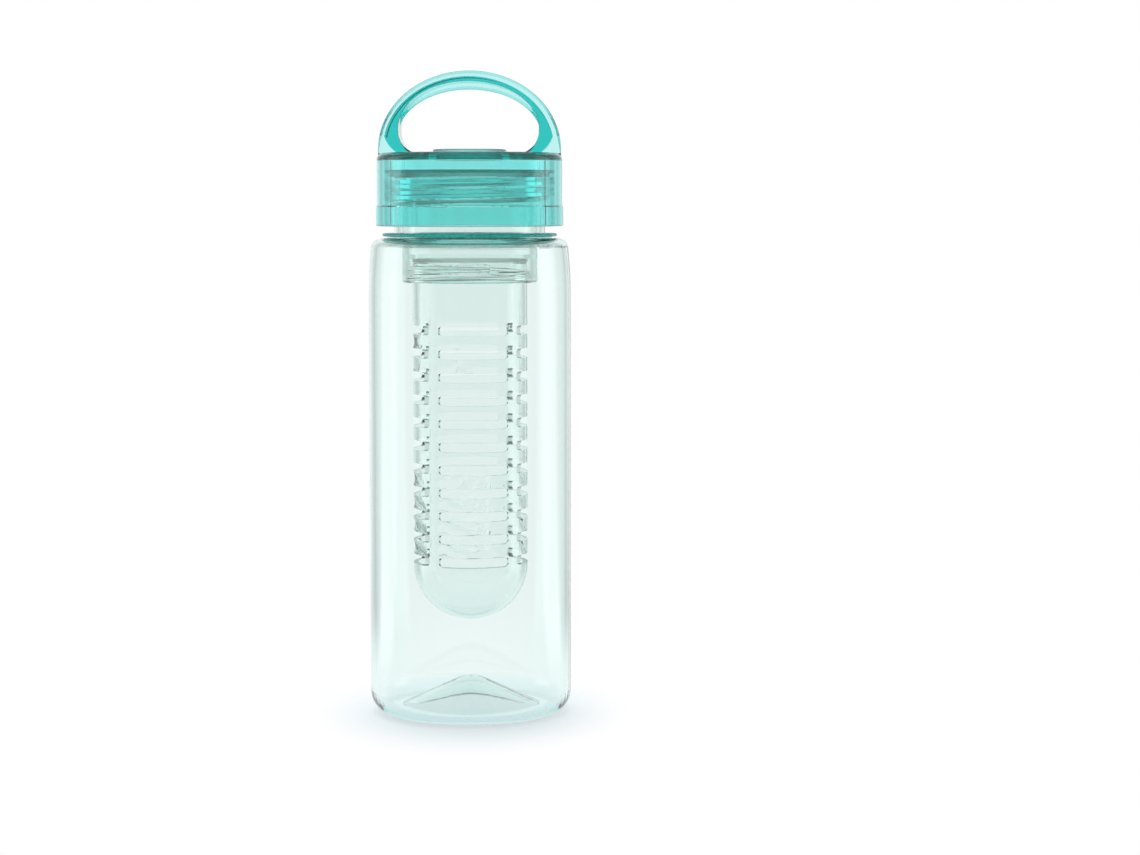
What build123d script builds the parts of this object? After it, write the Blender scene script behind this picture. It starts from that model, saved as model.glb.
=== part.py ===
"""Fruit infuser water bottle: a clear screw-neck bottle, a two-piece cap with a
loop handle, and a slotted basket that hangs in the neck from a flanged collar.

Frame: millimetres, +Z up, origin at the centre of the standing ring's plane.
The loop handle lies in the XZ plane, so the front view looks along +Y.
"""

from math import acos, atan2, cos, degrees, hypot, radians, sin
import os

from build123d import *

os.makedirs("parts", exist_ok=True)

# Infuser basket
basket_radius = 21.3
basket_wall = 1.8
basket_plain_length = 23.3
basket_end_chamfer = 0.5
slot_rows = 11
slot_pitch = 8.5
slot_height = 3.5
slot_margin = 0.3
slot_corner = 1.2
rib_angle = 20.0
basket_turn = 6.0

# Screw joint between basket and collar
basket_thread_pitch = 3.0
basket_thread_turns = 1.25
basket_thread_depth = 1.0
basket_thread_root = 1.5
basket_thread_crest = 0.7
basket_thread_gap = 0.3
basket_thread_start_angle = 200.0
basket_engagement = 7.5

# Infuser collar and its seal ring
collar_wall = 2.45
collar_drop = 16.2
collar_flange_thickness = 1.1
collar_flange_round = 0.4
collar_lip_width = 2.6
collar_lip_thickness = 1.5
seal_section_radius = 0.8
seal_squeeze_gap = 0.1
seal_groove_width = 2.0
seal_drop = 6.0

# Seal ring between the basket's rim and the collar's lip
washer_thickness = 1.2

# Bottle body
push_up_height = 11.0
push_up_crown_radius = 12.0
base_thickness = 2.5
floor_gap = 21.4
bottle_wall = 2.2
base_corner_radius = 8.0
standing_ring_width = 3.5
shoulder_step = 3.2
shoulder_taper = 1.3
shoulder_taper_height = 22.0
shoulder_round = 4.0

# Neck finish
neck_clearance = 0.95
neck_wall = 2.0
neck_thread_pitch = 4.0
neck_thread_turns = 1.5
cap_thread_turns = 1.65
neck_thread_depth = 1.5
neck_thread_root = 3.0
neck_thread_crest = 0.4
neck_thread_gap = 0.4
neck_thread_start_angle = 117.0
neck_thread_lead_in = 10.8
neck_rim_margin = 2.7
neck_rim_round = 0.6

# Ring round the neck, and the step in the shoulder that it lies on
ring_step_height = 0.5
ring_step_width = 2.5
ring_thickness = 1.1
ring_reach = 4.3
ring_round = 0.4

# Cap
cap_gap = 2.7
sleeve_recess = 0.6
sleeve_wall = 1.6
sleeve_gap = 0.8
inner_roof_thickness = 1.2
roof_space = 3.4
gasket_thickness = 1.1
gasket_width = 6.5
gasket_edge_gap = 0.3
key_rib_count = 2
key_rib_angle = 30.0
key_rib_width = 1.2
key_rib_gap = 0.15
shell_wall = 2.0
shell_roof_thickness = 2.9
shell_edge_round = 2.5
skirt_round = 0.4
band_height = 7.5
band_proud = 0.4
disc_radius = 13.5
disc_thickness = 1.2
disc_lap = 1.2
disc_gap = 0.15
disc_round = 0.5

# Loop handle
handle_rise = 29.0
handle_spring = 1.2
handle_bar = 7.0
handle_leg = 8.6
handle_inset = 0.5
handle_rim = 2.5
handle_root_cover = 1.1
strap_depth = 22.0
strap_thickness = 1.8
strap_edge_round = 0.6
strap_spring = 8.7
strap_corner = 8.0
strap_foot_corner = 11.0
web_thickness = 3.0
web_edge_round = 1.2
web_relief = 0.6
web_foot_corner = 0.5
window_spring = 6.2
window_corner = 5.5
window_sink = 0.3

# Shared values
seat_gap = 0.1
thread_embed = 0.5
overrun = 1.0

# Radii, worked outwards from the basket
basket_bore = basket_radius - basket_wall
collar_bore = basket_radius + basket_thread_depth + basket_thread_gap
collar_radius = collar_bore + collar_wall
neck_bore = collar_radius + neck_clearance
neck_radius = neck_bore + neck_wall
sleeve_bore = neck_radius + neck_thread_depth + neck_thread_gap
sleeve_radius = sleeve_bore + sleeve_wall
shell_bore = sleeve_radius + sleeve_gap
cap_radius = shell_bore + shell_wall
body_radius = cap_radius + shoulder_step
ring_radius = neck_radius + ring_reach

# Heights, worked upwards from the standing ring
floor_top = push_up_height + base_thickness
basket_bottom = floor_top + floor_gap
basket_dome_top = basket_bottom + basket_radius
slot_first_z = basket_dome_top + slot_margin + slot_height / 2
slot_last_z = slot_first_z + (slot_rows - 1) * slot_pitch
basket_top = slot_last_z + slot_height / 2 + basket_plain_length
collar_bottom = basket_top - basket_engagement
shoulder_z = collar_bottom + collar_drop
ring_bottom = shoulder_z + ring_step_height + seat_gap
ring_top = ring_bottom + ring_thickness
cap_bottom = ring_top + cap_gap
neck_thread_z = ring_top + neck_thread_lead_in
rim_z = neck_thread_z + neck_thread_turns * neck_thread_pitch + neck_rim_margin
flange_bottom = rim_z + seat_gap
flange_top = flange_bottom + collar_flange_thickness
gasket_bottom = flange_top + seat_gap
gasket_top = gasket_bottom + gasket_thickness
inner_roof_bottom = gasket_top + seat_gap
inner_roof_top = inner_roof_bottom + inner_roof_thickness
sleeve_top = inner_roof_top + roof_space
shell_roof_bottom = sleeve_top + seat_gap
roof_top = shell_roof_bottom + shell_roof_thickness
washer_bottom = basket_top + seat_gap
lip_bottom = washer_bottom + washer_thickness + seat_gap
handle_spring_z = roof_top + handle_spring
handle_top = handle_spring_z + handle_rise


def thread_ridge(wall_radius, outward, pitch, turns, depth, root, crest, start_z, start_angle):
    """A trapezoidal ridge on a helix, standing outward (1) or inward (-1) from a wall.

    Its flanks run on into the wall, so the profile is root wide at the wall itself.
    """
    foot = root + (root - crest) * thread_embed / depth
    with BuildPart() as ridge:
        with BuildLine() as path:
            Helix(pitch, turns * pitch, wall_radius)
        start = Plane(origin=path.line @ 0, x_dir=(1, 0, 0), z_dir=path.line % 0)
        with BuildSketch(start):
            with BuildLine():
                Polyline(
                    (-outward * thread_embed, -foot / 2),
                    (outward * depth, -crest / 2),
                    (outward * depth, crest / 2),
                    (-outward * thread_embed, foot / 2),
                    close=True,
                )
            make_face()
        sweep(path=path.line, is_frenet=True)
    return Pos(0, 0, start_z) * Rot(0, 0, start_angle) * ridge.part


neck_ridge = thread_ridge(
    neck_radius,
    1,
    neck_thread_pitch,
    neck_thread_turns,
    neck_thread_depth,
    neck_thread_root,
    neck_thread_crest,
    neck_thread_z,
    neck_thread_start_angle,
)
cap_ridge = thread_ridge(
    sleeve_bore,
    -1,
    neck_thread_pitch,
    cap_thread_turns,
    neck_thread_depth,
    neck_thread_root,
    neck_thread_crest,
    neck_thread_z + neck_thread_pitch / 2,
    neck_thread_start_angle,
)
collar_thread_z = collar_bottom + basket_thread_root / 2 + basket_end_chamfer / 2
collar_ridge = thread_ridge(
    collar_bore,
    -1,
    basket_thread_pitch,
    basket_thread_turns,
    basket_thread_depth,
    basket_thread_root,
    basket_thread_crest,
    collar_thread_z,
    basket_thread_start_angle,
)
basket_ridge = thread_ridge(
    basket_radius,
    1,
    basket_thread_pitch,
    basket_thread_turns,
    basket_thread_depth,
    basket_thread_root,
    basket_thread_crest,
    collar_thread_z + basket_thread_pitch / 2,
    basket_thread_start_angle,
)


def wall_outline(radius, corner, floor_z, crown_z, top_z):
    """Half outline of the bottle's outside or inside: crown, sloping floor, ring, corner
    and side up to the shoulder. Returns its first and last points."""
    crown_centre = crown_z - push_up_crown_radius - floor_z
    tangent_angle = degrees(
        atan2(-crown_centre, ring_inner) + acos(push_up_crown_radius / hypot(crown_centre, ring_inner))
    )
    crown = CenterArc(
        (0, crown_centre + floor_z), push_up_crown_radius, 90, tangent_angle - 90
    )
    slope = Line(crown @ 1, (ring_inner, floor_z))
    ring = Line(slope @ 1, (radius - corner, floor_z))
    turn = CenterArc((radius - corner, floor_z + corner), corner, -90, 90)
    side = Line(turn @ 1, (radius, taper_z))
    taper = TangentArc(side @ 1, (radius - shoulder_taper, top_z), tangent=(0, 1))
    return crown @ 0, taper @ 1


# Bottle body: domed base, near-cylindrical wall, flat shoulder and threaded neck
ring_inner = body_radius - base_corner_radius - standing_ring_width
taper_z = shoulder_z - shoulder_taper_height
cavity_top = shoulder_z - bottle_wall

with BuildPart() as bottle_body:
    with BuildSketch(Plane.XZ):
        with BuildLine():
            apex, shoulder = wall_outline(
                body_radius, base_corner_radius, 0, push_up_height, shoulder_z
            )
            Polyline(shoulder, (0, shoulder_z), apex)
        make_face()
    revolve(axis=Axis.Z)
    fillet(
        bottle_body.edges().filter_by(GeomType.CIRCLE).group_by(Axis.Z)[-1],
        shoulder_round,
    )
    with BuildSketch(Plane.XY.offset(shoulder_z - bottle_wall)):
        Circle(neck_radius)
    extrude(amount=rim_z - shoulder_z + bottle_wall)
    with BuildSketch(Plane.XY.offset(shoulder_z - seat_gap)):
        Circle(neck_radius + ring_step_width)
    extrude(amount=ring_step_height + seat_gap)
    add(neck_ridge)
    with BuildSketch(Plane.XZ) as cavity:
        with BuildLine():
            apex, shoulder = wall_outline(
                body_radius - bottle_wall,
                base_corner_radius - bottle_wall,
                base_thickness,
                floor_top,
                cavity_top,
            )
            Polyline(
                shoulder,
                (neck_bore, cavity_top),
                (neck_bore, rim_z + overrun),
                (0, rim_z + overrun),
                apex,
            )
        make_face()
        fillet(cavity.vertices().sort_by_distance(shoulder)[0], shoulder_round - bottle_wall)
    revolve(axis=Axis.Z, mode=Mode.SUBTRACT)
    fillet(
        bottle_body.edges().filter_by(GeomType.CIRCLE).group_by(Axis.Z)[-1],
        neck_rim_round,
    )
bottle_body.part.label = "bottle_body"

# Neck ring: soft ring round the neck, lying on the shoulder's step
with BuildPart() as neck_ring:
    with BuildSketch(Plane.XY.offset(ring_bottom)):
        Circle(ring_radius)
        Circle(neck_radius + seat_gap, mode=Mode.SUBTRACT)
    extrude(amount=ring_thickness)
    fillet(
        neck_ring.edges().filter_by(GeomType.CIRCLE).filter_by(lambda e: e.radius > neck_radius + overrun),
        ring_round,
    )
neck_ring.part.label = "neck_ring"

# Infuser collar: rests on the neck rim, reaches down through the neck and carries
# the basket in its threaded lower end
seal_z = flange_bottom - seal_drop
seal_radius = neck_bore - seal_squeeze_gap - seal_section_radius
seal_groove_radius = seal_radius - seal_section_radius - seal_squeeze_gap

with BuildPart() as infuser_collar:
    with BuildSketch(Plane.XY.offset(collar_bottom)):
        Circle(collar_radius)
        Circle(collar_bore, mode=Mode.SUBTRACT)
    extrude(amount=flange_top - collar_bottom)
    with BuildSketch(Plane.XY.offset(flange_bottom)):
        Circle(neck_radius)
        Circle(collar_bore, mode=Mode.SUBTRACT)
    extrude(amount=collar_flange_thickness)
    fillet(
        infuser_collar.edges().group_by(Axis.Z)[-1].sort_by(SortBy.RADIUS)[-1],
        collar_flange_round,
    )
    with BuildSketch(Plane.XY.offset(lip_bottom)):
        Circle(collar_bore + thread_embed)
        Circle(collar_bore - collar_lip_width, mode=Mode.SUBTRACT)
    extrude(amount=collar_lip_thickness)
    with BuildSketch(Plane.XY.offset(seal_z - seal_groove_width / 2)):
        Circle(collar_radius + overrun)
        Circle(seal_groove_radius, mode=Mode.SUBTRACT)
    extrude(amount=seal_groove_width, mode=Mode.SUBTRACT)
    chamfer(
        infuser_collar.edges().group_by(Axis.Z)[0].sort_by(SortBy.RADIUS)[-1],
        basket_end_chamfer,
    )
    add(collar_ridge)
infuser_collar.part.label = "infuser_collar"

with BuildPart() as collar_seal:
    with BuildSketch(Plane.XZ):
        with Locations((seal_radius, seal_z)):
            Circle(seal_section_radius)
    revolve(axis=Axis.Z)
collar_seal.part.label = "collar_seal"

# Basket seal: soft washer on the basket's rim, under the collar's lip
with BuildPart() as basket_seal:
    with BuildSketch(Plane.XY.offset(washer_bottom)):
        Circle(basket_radius)
        Circle(basket_bore, mode=Mode.SUBTRACT)
    extrude(amount=washer_thickness)
basket_seal.part.label = "basket_seal"

# Infuser basket: a slotted tube with a domed end and a threaded rim
slot_angle = 90 - rib_angle
slot_width = 2 * basket_radius * sin(radians(slot_angle / 2))
slot_plane_z = (slot_first_z + slot_last_z) / 2

with BuildPart() as infuser_basket:
    with BuildSketch(Plane.XZ):
        with BuildLine():
            outer_dome = CenterArc((0, basket_dome_top), basket_radius, -90, 90)
            outer_wall = Line(outer_dome @ 1, (basket_radius, basket_top))
            rim = Line(outer_wall @ 1, (basket_bore, basket_top))
            inner_wall = Line(rim @ 1, (basket_bore, basket_dome_top))
            inner_dome = CenterArc((0, basket_dome_top), basket_bore, -90, 90)
            Line(inner_dome @ 0, outer_dome @ 0)
        make_face()
    revolve(axis=Axis.Z)
    chamfer(
        infuser_basket.edges().group_by(Axis.Z)[-1].sort_by(SortBy.RADIUS)[-1],
        basket_end_chamfer,
    )
    for slot_direction in (basket_turn, basket_turn + 90):
        outward = (cos(radians(slot_direction)), sin(radians(slot_direction)), 0)
        across = (-sin(radians(slot_direction)), cos(radians(slot_direction)), 0)
        slot_plane = Plane(origin=(0, 0, slot_plane_z), x_dir=across, z_dir=outward)
        with BuildSketch(slot_plane):
            with GridLocations(slot_pitch, slot_pitch, 1, slot_rows):
                RectangleRounded(slot_width, slot_height, slot_corner)
        extrude(amount=basket_radius + overrun, both=True, mode=Mode.SUBTRACT)
    add(basket_ridge)
infuser_basket.part.label = "infuser_basket"

# Cap gasket: flat ring between the collar's flange and the inner cap's roof
gasket_radius = sleeve_bore - gasket_edge_gap

with BuildPart() as cap_gasket:
    with BuildSketch(Plane.XY.offset(gasket_bottom)):
        Circle(gasket_radius)
        Circle(gasket_radius - gasket_width, mode=Mode.SUBTRACT)
    extrude(amount=gasket_thickness)
cap_gasket.part.label = "cap_gasket"

# Inner cap: threaded sleeve with a flat roof part-way up, keyed into the outer shell
sleeve_bottom = cap_bottom + sleeve_recess
key_rib_reach = sleeve_gap - key_rib_gap

with BuildPart() as inner_cap:
    with BuildSketch(Plane.XY.offset(sleeve_bottom)):
        Circle(sleeve_radius)
        for rib_direction in (key_rib_angle, -key_rib_angle):
            with PolarLocations(sleeve_radius, key_rib_count, start_angle=rib_direction):
                Rectangle(2 * key_rib_reach, key_rib_width)
    extrude(amount=sleeve_top - sleeve_bottom)
    with BuildSketch(Plane.XY.offset(sleeve_bottom)):
        Circle(sleeve_bore)
    extrude(amount=inner_roof_bottom - sleeve_bottom, mode=Mode.SUBTRACT)
    with BuildSketch(Plane.XY.offset(inner_roof_top)):
        Circle(sleeve_bore)
    extrude(amount=roof_space, mode=Mode.SUBTRACT)
    add(cap_ridge)
inner_cap.part.label = "inner_cap"

# Loop handle: an arch as wide as the cap, with a deep strap along the middle of a thin web
arch_radius = cap_radius - handle_inset
window_half_width = cap_radius - handle_leg
window_bottom = roof_top - window_sink
window_spring_z = roof_top + window_spring
window_top = handle_top - handle_bar
strap_spring_z = roof_top + strap_spring
strap_window_top = handle_top - handle_rim - strap_thickness
handle_foot_z = shell_roof_bottom + handle_root_cover


def arch_outline(half_width, foot_z, spring_z, rise):
    """Closed outline of an arch: half an ellipse on two straight legs."""
    right_leg = Line((half_width, foot_z), (half_width, spring_z))
    arch = EllipticalCenterArc((0, spring_z), half_width, rise, arc_size=180)
    left_leg = Line(arch @ 1, (-half_width, foot_z))
    Line(left_leg @ 1, right_leg @ 0)


def arch_bar(
    rim, foot_corner, opening_half_width, opening_spring_z, opening_top, corner, depth, edge_round
):
    """A bar bent round the handle's opening, a rim's width inside the handle's outline."""
    with BuildPart() as bar:
        with BuildSketch(Plane.XZ):
            with BuildLine():
                arch_outline(arch_radius - rim, cap_bottom, handle_spring_z, handle_rise - rim)
            make_face()
        extrude(amount=depth / 2, both=True)
        with BuildSketch(Plane.XZ) as opening:
            with BuildLine():
                arch_outline(
                    opening_half_width, window_bottom, opening_spring_z, opening_top - opening_spring_z
                )
            make_face()
            fillet(opening.vertices().group_by(Axis.Y)[0], corner)
        extrude(amount=depth, both=True, mode=Mode.SUBTRACT)
        side_faces = bar.faces().filter_by(GeomType.PLANE).filter_by(Axis.Y)
        fillet(
            side_faces.edges().filter_by(lambda e: e.center().Z > cap_bottom + overrun),
            edge_round,
        )
        with BuildSketch(Plane.XZ):
            with Locations((0, handle_foot_z + handle_rise)):
                RectangleRounded(2 * (arch_radius - rim), 2 * handle_rise, foot_corner)
        extrude(amount=depth, both=True, mode=Mode.INTERSECT)
    return bar.part


handle_strap = arch_bar(
    handle_rim,
    strap_foot_corner,
    window_half_width,
    strap_spring_z,
    strap_window_top,
    strap_corner,
    strap_depth,
    strap_edge_round,
)
handle_web = arch_bar(
    0,
    web_foot_corner,
    window_half_width + web_relief,
    window_spring_z,
    window_top,
    window_corner,
    web_thickness,
    web_edge_round,
)

# Cap shell: outer skirt and roof in one moulding with the loop handle
band_radius = cap_radius + band_proud
band_top = cap_bottom + band_height
plug_radius = disc_radius - disc_lap

with BuildPart() as cap_shell:
    with BuildSketch(Plane.XZ):
        with BuildLine():
            Polyline(
                (0, cap_bottom),
                (band_radius, cap_bottom),
                (band_radius, band_top - band_proud),
                (cap_radius, band_top),
                (cap_radius, roof_top),
                (0, roof_top),
                close=True,
            )
        make_face()
    revolve(axis=Axis.Z)
    rim_edges = cap_shell.edges().filter_by(GeomType.CIRCLE).group_by(Axis.Z)
    fillet(rim_edges[-1], shell_edge_round)
    fillet(rim_edges[0], skirt_round)
    with BuildSketch(Plane.XY.offset(cap_bottom)):
        Circle(shell_bore)
    extrude(amount=shell_roof_bottom - cap_bottom, mode=Mode.SUBTRACT)
    add(handle_strap)
    add(handle_web)
    with BuildSketch(Plane.XY.offset(shell_roof_bottom)):
        Circle(plug_radius + disc_gap)
    extrude(amount=shell_roof_thickness, mode=Mode.SUBTRACT)
cap_shell.part.label = "cap_shell"

# Cap disc: pale plug through the middle of the roof, with a flange that lies on it
with BuildPart() as cap_disc:
    with BuildSketch(Plane.XY.offset(shell_roof_bottom)):
        Circle(plug_radius)
    extrude(amount=shell_roof_thickness + seat_gap)
    with BuildSketch(Plane.XY.offset(roof_top + seat_gap)):
        Circle(disc_radius)
    extrude(amount=disc_thickness)
    fillet(cap_disc.edges().group_by(Axis.Z)[-1], disc_round)
cap_disc.part.label = "cap_disc"

for piece in (
    bottle_body,
    neck_ring,
    infuser_collar,
    collar_seal,
    basket_seal,
    infuser_basket,
    cap_gasket,
    inner_cap,
    cap_shell,
    cap_disc,
):
    export_step(piece.part, f"parts/{piece.part.label}.step")
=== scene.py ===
"""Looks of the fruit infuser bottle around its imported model. Metres, +Z up."""

import math

import bpy
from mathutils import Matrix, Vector

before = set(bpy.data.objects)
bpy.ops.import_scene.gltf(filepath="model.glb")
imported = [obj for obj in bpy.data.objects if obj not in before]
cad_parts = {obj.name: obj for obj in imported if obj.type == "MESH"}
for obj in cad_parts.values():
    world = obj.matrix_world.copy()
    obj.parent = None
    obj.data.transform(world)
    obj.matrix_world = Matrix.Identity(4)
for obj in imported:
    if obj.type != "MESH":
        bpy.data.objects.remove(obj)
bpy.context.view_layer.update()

MM = 0.001
WHITE = (1.0, 1.0, 1.0, 1.0)
EVEN = (1.0, 1.0, 1.0)

# Bounces that light needs to get through the nested clear walls
CLEAR_BOUNCES = 48
GLOSSY_BOUNCES = 12

# The photograph's view
PHOTO_WIDTH_PX = 1140
PHOTO_FOCAL_PX = 2669
SENSOR_MM = 36.0
CAMERA_PLACE = (37.1 * MM, -991 * MM, 192.3 * MM)
CAMERA_PITCH_DEG = 4.95
CAMERA_CLIP_START = 10 * MM

# Paper under the object, which turns into a white backdrop across a span of distances.
# The narrowing makes it turn white sooner to the left and right.
FLOOR_SIZE = 12.0
# Paper's colour, with a painted bluish shadow tint that stands in for light through
# the aqua plastic
PAPER_COLOUR_SHADOW_TINTED = (0.84, 0.95, 1.0, 1.0)
PAPER_ROUGHNESS = 0.9
# Tint of the glow next to the object, a painted bluish tint in the object's shadow
PAPER_GLOW_SHADOW_TINT = (0.9, 0.97, 1.0, 1.0)
PAPER_SPAN = (35 * MM, 88 * MM)
PAPER_NARROWING = 1.4

# Share of the glow in the paper next to the object, as the camera sees it and as it is
# seen through the plastic or mirrored in it. The larger share for the plastic is
# painted light that lifts the object's shadow where the plastic shows it.
CAMERA_GLOW_SHARE = 0.64
PLASTIC_GLOW_SHARE_WITH_PAINTED_LIGHT = 0.76

# The room's levels, which the plastic sees and the camera doesn't: full behind the
# object, lower at the sides, in front and overhead. Each level sets in across a span
# of the direction's part to either side, to the back or upwards.
ROOM_SIDE = 0.66
SIDE_SPAN = (0.3, 0.6)
ROOM_FRONT = 0.6
FRONT_SPAN = (-0.8, 0.1)
ROOM_OVERHEAD = 0.8
OVERHEAD_SPAN = (0.15, 0.7)

# Distances across which the floor's glow takes on the room's levels and windows,
# painted into the floor as reflections for the plastic
ROOM_REACH = (100 * MM, 350 * MM)

# Soft windows to the left and right of the object, from beside it to behind it, in the
# world and painted into the floor's glow as reflections
WINDOW_LEVEL = 1.45
WINDOW_SIDE_SPAN = (0.8, 0.9)
WINDOW_DEPTH_SPAN = (-0.1, 0.1)

# The one lamp, above and behind the object and turned to it
LAMP_PLACE = (-0.1, 0.35, 1.1)
LAMP_SIZE = 0.8
LAMP_POWER = 7.5

# Noises of the surfaces, with a factor for each of the coordinates
SMUDGES = {"scale": 45.0, "factors": EVEN, "detail": 4.0}
STREAKS = {"scale": 260.0, "factors": (1.0, 1.0, 6.0), "detail": 2.0}
WALL_FLOW = {"scale": 60.0, "factors": (1.0, 1.0, 0.35), "detail": 3.0}
MOULD_GRAIN = {"scale": 900.0, "factors": EVEN, "detail": 3.0}

# Unevenness that the last two noises give the plastics and the elastomers
WALL_STRENGTH = 0.05
WALL_HEIGHT = 0.4 * MM
GRAIN_STRENGTH = 0.1
GRAIN_HEIGHT = 0.1 * MM

# Span of smudges times streaks across which a surface goes from polished to rubbed
WEAR_SPAN = (0.2, 0.4)

PLASTIC_IOR = 1.56
ELASTOMER_IOR = 1.41

# Absorption is per metre of path in red, green and blue. Polished and rubbed are the
# two ends of the roughness.
CLEAR_PLASTICS = {
    "bottle_plastic": {
        "absorption": (34.0, 8.0, 12.0),
        "polished": 0.0,
        "rubbed": 0.03,
    },
    "insert_plastic": {
        "absorption": (24.0, 6.0, 11.0),
        "polished": 0.02,
        "rubbed": 0.06,
    },
    "cap_plastic": {
        "absorption": (212.0, 25.0, 28.0),
        "polished": 0.01,
        "rubbed": 0.05,
    },
    "disc_plastic": {
        "absorption": (14.0, 2.0, 3.0),
        "polished": 0.28,
        "rubbed": 0.38,
    },
}
SOFT_ELASTOMERS = {
    "silicone": {
        "colour": (0.9, 0.98, 0.95, 1.0),
        "transmission": 0.85,
        "polished": 0.35,
        "rubbed": 0.5,
    },
    "aqua_elastomer": {
        "colour": (0.02, 0.85, 0.78, 1.0),
        "transmission": 0.5,
        "polished": 0.25,
        "rubbed": 0.4,
    },
}
MATERIAL_OF_PIECE = {
    "bottle_body": "bottle_plastic",
    "neck_ring": "aqua_elastomer",
    "infuser_collar": "insert_plastic",
    "infuser_basket": "insert_plastic",
    "cap_shell": "cap_plastic",
    "inner_cap": "cap_plastic",
    "cap_disc": "disc_plastic",
    "cap_gasket": "silicone",
    "collar_seal": "silicone",
    "basket_seal": "silicone",
}


def new_material(name):
    """An empty node material with its output node."""
    material = bpy.data.materials.new(name)
    material.use_nodes = True
    nodes, links = material.node_tree.nodes, material.node_tree.links
    nodes.clear()
    return material, nodes, links, nodes.new("ShaderNodeOutputMaterial")


def object_coordinates(nodes):
    return nodes.new("ShaderNodeTexCoord").outputs["Object"]


def direction_parts(nodes, links, direction):
    """The parts of a direction along X, Y and Z."""
    split = nodes.new("ShaderNodeSeparateXYZ")
    links.new(direction, split.inputs["Vector"])
    return split.outputs


def vector_maths(nodes, links, operation, vector):
    """Node with the result of an operation on one vector."""
    maths = nodes.new("ShaderNodeVectorMath")
    maths.operation = operation
    links.new(vector, maths.inputs[0])
    return maths


def scaled(nodes, links, vector, factors):
    """A vector with each of its parts multiplied by a factor."""
    mapping = nodes.new("ShaderNodeMapping")
    mapping.inputs["Scale"].default_value = factors
    links.new(vector, mapping.inputs["Vector"])
    return mapping.outputs["Vector"]


def combined(nodes, links, operation, *values):
    """One value from one or two by a maths operation."""
    maths = nodes.new("ShaderNodeMath")
    maths.operation = operation
    for value, socket in zip(values, maths.inputs):
        links.new(value, socket)
    return maths.outputs["Value"]


def product(nodes, links, first, second):
    return combined(nodes, links, "MULTIPLY", first, second)


def larger(nodes, links, first, second):
    return combined(nodes, links, "MAXIMUM", first, second)


def smaller(nodes, links, first, second):
    return combined(nodes, links, "MINIMUM", first, second)


def level_along(nodes, links, value, span, start, end):
    """A level that goes smoothly from start to end as a value crosses the span."""
    level = nodes.new("ShaderNodeMapRange")
    level.interpolation_type = "SMOOTHSTEP"
    level.inputs["From Min"].default_value = span[0]
    level.inputs["From Max"].default_value = span[1]
    level.inputs["To Min"].default_value = start
    level.inputs["To Max"].default_value = end
    links.new(value, level.inputs["Value"])
    return level.outputs["Result"]


def surface_noise(nodes, links, scale, factors, detail):
    """Noise in the object's own coordinates, each of them multiplied by its factor."""
    noise = nodes.new("ShaderNodeTexNoise")
    noise.inputs["Scale"].default_value = scale
    noise.inputs["Detail"].default_value = detail
    place = scaled(nodes, links, object_coordinates(nodes), factors)
    links.new(place, noise.inputs["Vector"])
    return noise.outputs["Fac"]


def moulded_normal(nodes, links, noise, strength, height):
    """Normal with the faint unevenness of a moulded surface."""
    bump = nodes.new("ShaderNodeBump")
    bump.inputs["Strength"].default_value = strength
    bump.inputs["Distance"].default_value = height
    links.new(surface_noise(nodes, links, **noise), bump.inputs["Height"])
    return bump.outputs["Normal"]


def handled_roughness(nodes, links, polished, rubbed):
    """Roughness from polished to rubbed, in soft smudges crossed by fine streaks."""
    smudges = surface_noise(nodes, links, **SMUDGES)
    streaks = surface_noise(nodes, links, **STREAKS)
    wear = product(nodes, links, smudges, streaks)
    return level_along(nodes, links, wear, WEAR_SPAN, polished, rubbed)


def clear_plastic(name, absorption, polished, rubbed):
    """Solid clear plastic: refraction at the surface, colour from the depth."""
    material, nodes, links, output = new_material(name)
    shader = nodes.new("ShaderNodeBsdfPrincipled")
    shader.inputs["Base Color"].default_value = WHITE
    shader.inputs["IOR"].default_value = PLASTIC_IOR
    shader.inputs["Transmission Weight"].default_value = 1.0
    roughness = handled_roughness(nodes, links, polished, rubbed)
    links.new(roughness, shader.inputs["Roughness"])
    normal = moulded_normal(nodes, links, WALL_FLOW, WALL_STRENGTH, WALL_HEIGHT)
    links.new(normal, shader.inputs["Normal"])
    density = max(absorption)
    tint = [1 - channel / density for channel in absorption]
    depth = nodes.new("ShaderNodeVolumeAbsorption")
    depth.inputs["Color"].default_value = (*tint, 1.0)
    depth.inputs["Density"].default_value = density
    links.new(shader.outputs["BSDF"], output.inputs["Surface"])
    links.new(depth.outputs["Volume"], output.inputs["Volume"])
    return material


def soft_elastomer(name, colour, transmission, polished, rubbed):
    """Silicone or rubber, part milky and part clear, with a fine moulded grain."""
    material, nodes, links, output = new_material(name)
    shader = nodes.new("ShaderNodeBsdfPrincipled")
    shader.inputs["Base Color"].default_value = colour
    shader.inputs["IOR"].default_value = ELASTOMER_IOR
    shader.inputs["Transmission Weight"].default_value = transmission
    roughness = handled_roughness(nodes, links, polished, rubbed)
    links.new(roughness, shader.inputs["Roughness"])
    normal = moulded_normal(nodes, links, MOULD_GRAIN, GRAIN_STRENGTH, GRAIN_HEIGHT)
    links.new(normal, shader.inputs["Normal"])
    links.new(shader.outputs["BSDF"], output.inputs["Surface"])
    return material


def room_levels(nodes, links, parts):
    """The room's level and its windows' level in the direction with these parts."""
    sideways = combined(nodes, links, "ABSOLUTE", parts["X"])
    depth = parts["Y"]
    side = level_along(nodes, links, sideways, SIDE_SPAN, 1.0, ROOM_SIDE)
    front = level_along(nodes, links, depth, FRONT_SPAN, ROOM_FRONT, 1.0)
    beside = level_along(nodes, links, sideways, WINDOW_SIDE_SPAN, 0.0, WINDOW_LEVEL)
    behind = level_along(nodes, links, depth, WINDOW_DEPTH_SPAN, 0.0, 1.0)
    around = smaller(nodes, links, side, front)
    return around, product(nodes, links, beside, behind)


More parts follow.
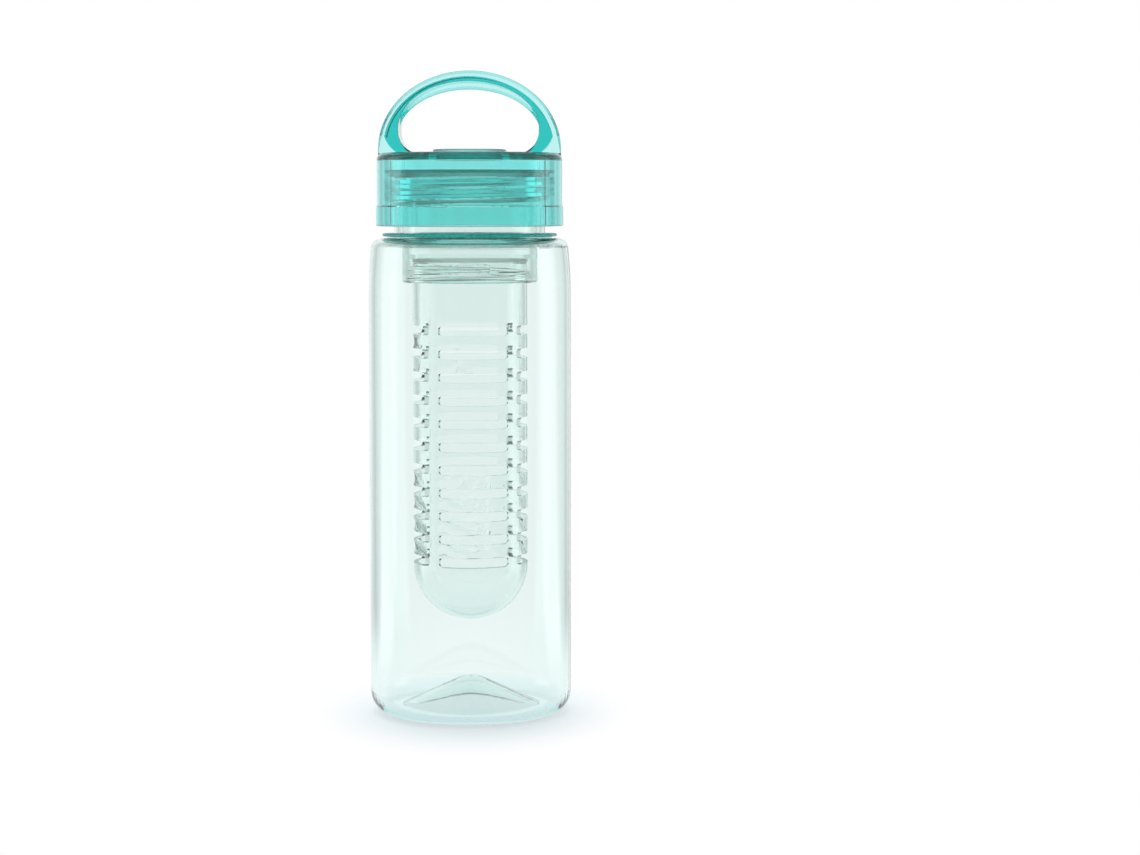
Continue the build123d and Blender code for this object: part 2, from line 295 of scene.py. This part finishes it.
def glow_colour(nodes, links, whiteness):
    """Colour of the paper's glow, from a painted bluish shadow tint next to the object
    to white.
    """
    mix = nodes.new("ShaderNodeMix")
    mix.data_type = "RGBA"
    near, far = [socket for socket in mix.inputs if socket.type == "RGBA"]
    near.default_value = PAPER_GLOW_SHADOW_TINT
    far.default_value = WHITE
    links.new(whiteness, mix.inputs["Factor"])
    return mix.outputs[2]


def glow_and_painted_reflection_level(nodes, links, place, distance, plastic_ray):
    """Level of the paper's glow: full near the object, and further out the room's
    levels and windows, painted in as reflections for the plastic.
    """
    direction = vector_maths(nodes, links, "NORMALIZE", place).outputs["Vector"]
    parts = direction_parts(nodes, links, direction)
    around, window = room_levels(nodes, links, parts)
    # painted reflection: the windows glow in the floor for rays from the plastic only
    window = product(nodes, links, window, plastic_ray)
    reach = level_along(nodes, links, distance, ROOM_REACH, 0.0, 1.0)
    mix = nodes.new("ShaderNodeMix")
    mix.inputs["A"].default_value = 1.0
    links.new(reach, mix.inputs["Factor"])
    links.new(larger(nodes, links, around, window), mix.inputs["B"])
    return mix.outputs["Result"]


def paper_material():
    """Pale paper with a share of glow that grows to all of it further out.

    The camera sees the glow at full level. The plastic sees a larger share of it next
    to the object, painted light that lifts the shadow there, and further out the
    room's levels and windows, painted into the floor as reflections. The paper's own
    share takes the object's shadow, in a painted bluish tint, and other rays meet no
    glow.
    """
    material, nodes, links, output = new_material("floor_paper")
    paper = nodes.new("ShaderNodeBsdfPrincipled")
    # painted shadow tint in the paper's colour
    paper.inputs["Base Color"].default_value = PAPER_COLOUR_SHADOW_TINTED
    paper.inputs["Roughness"].default_value = PAPER_ROUGHNESS
    paper.inputs["Specular IOR Level"].default_value = 0.0
    path = nodes.new("ShaderNodeLightPath").outputs
    camera_ray = path["Is Camera Ray"]
    plastic_ray = larger(
        nodes, links, path["Is Glossy Ray"], path["Is Transmission Ray"]
    )
    place = object_coordinates(nodes)
    narrowed = scaled(nodes, links, place, (PAPER_NARROWING, 1.0, 1.0))
    distance = vector_maths(nodes, links, "LENGTH", narrowed).outputs["Value"]
    whiteness, camera_share, plastic_share_with_painted_light = (
        level_along(nodes, links, distance, PAPER_SPAN, start, 1.0)
        for start in (0.0, CAMERA_GLOW_SHARE, PLASTIC_GLOW_SHARE_WITH_PAINTED_LIGHT)
    )
    # painted reflection of the room's levels and windows in the floor's glow
    room = glow_and_painted_reflection_level(nodes, links, place, distance, plastic_ray)
    glow = nodes.new("ShaderNodeEmission")
    links.new(glow_colour(nodes, links, whiteness), glow.inputs["Color"])
    links.new(larger(nodes, links, room, camera_ray), glow.inputs["Strength"])
    # the plastic's share holds painted light that lifts the shadow under the object
    share = larger(
        nodes,
        links,
        product(nodes, links, camera_ray, camera_share),
        product(nodes, links, plastic_ray, plastic_share_with_painted_light),
    )
    mix = nodes.new("ShaderNodeMixShader")
    links.new(share, mix.inputs["Fac"])
    links.new(paper.outputs["BSDF"], mix.inputs[1])
    links.new(glow.outputs["Emission"], mix.inputs[2])
    links.new(mix.outputs["Shader"], output.inputs["Surface"])
    return material


def make_floor():
    """The floor, which isn't part of the object."""
    bpy.ops.mesh.primitive_plane_add(size=FLOOR_SIZE, location=(0.0, 0.0, 0.0))
    floor = bpy.context.object
    floor.name = "floor"
    floor.data.materials.append(paper_material())


def white_background(nodes):
    background = nodes.new("ShaderNodeBackground")
    background.inputs["Color"].default_value = WHITE
    return background


def make_world():
    """White where the camera looks, and the room's levels for every other ray."""
    world = bpy.data.worlds.new("studio")
    bpy.context.scene.world = world
    world.use_nodes = True
    nodes, links = world.node_tree.nodes, world.node_tree.links
    nodes.clear()
    output = nodes.new("ShaderNodeOutputWorld")
    seen = white_background(nodes)
    room = white_background(nodes)
    direction = nodes.new("ShaderNodeTexCoord").outputs["Generated"]
    parts = direction_parts(nodes, links, direction)
    around, window = room_levels(nodes, links, parts)
    overhead = level_along(nodes, links, parts["Z"], OVERHEAD_SPAN, 1.0, ROOM_OVERHEAD)
    level = product(nodes, links, larger(nodes, links, around, window), overhead)
    links.new(level, room.inputs["Strength"])
    path = nodes.new("ShaderNodeLightPath")
    choice = nodes.new("ShaderNodeMixShader")
    links.new(path.outputs["Is Camera Ray"], choice.inputs["Fac"])
    links.new(room.outputs["Background"], choice.inputs[1])
    links.new(seen.outputs["Background"], choice.inputs[2])
    links.new(choice.outputs["Shader"], output.inputs["Surface"])


def make_softbox():
    """A wide soft lamp that shades the object without showing in the plastic."""
    light = bpy.data.lights.new("top_softbox", "AREA")
    light.shape = "SQUARE"
    light.size = LAMP_SIZE
    light.energy = LAMP_POWER
    lamp = bpy.data.objects.new("top_softbox", light)
    bpy.context.scene.collection.objects.link(lamp)
    lamp.location = LAMP_PLACE
    towards_object = -Vector(LAMP_PLACE)
    lamp.rotation_euler = towards_object.to_track_quat("-Z", "Y").to_euler()
    lamp.visible_camera = False
    lamp.visible_glossy = False
    lamp.visible_transmission = False


def make_camera():
    """The photograph's camera, level apart from its pitch."""
    data = bpy.data.cameras.new("camera")
    data.sensor_width = SENSOR_MM
    data.lens = SENSOR_MM * PHOTO_FOCAL_PX / PHOTO_WIDTH_PX
    data.clip_start = CAMERA_CLIP_START
    camera = bpy.data.objects.new("camera", data)
    bpy.context.scene.collection.objects.link(camera)
    camera.location = CAMERA_PLACE
    camera.rotation_euler = (math.radians(90 - CAMERA_PITCH_DEG), 0.0, 0.0)
    bpy.context.scene.camera = camera


def dress_bottle():
    """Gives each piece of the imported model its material."""
    materials = {}
    for name, settings in CLEAR_PLASTICS.items():
        materials[name] = clear_plastic(name, **settings)
    for name, settings in SOFT_ELASTOMERS.items():
        materials[name] = soft_elastomer(name, **settings)
    for piece, name in MATERIAL_OF_PIECE.items():
        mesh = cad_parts[piece].data
        mesh.materials.clear()
        mesh.materials.append(materials[name])


scene = bpy.context.scene
scene.view_settings.view_transform = "Standard"
scene.cycles.max_bounces = CLEAR_BOUNCES
scene.cycles.transmission_bounces = CLEAR_BOUNCES
scene.cycles.glossy_bounces = GLOSSY_BOUNCES

make_camera()
make_world()
make_floor()
make_softbox()
dress_bottle()
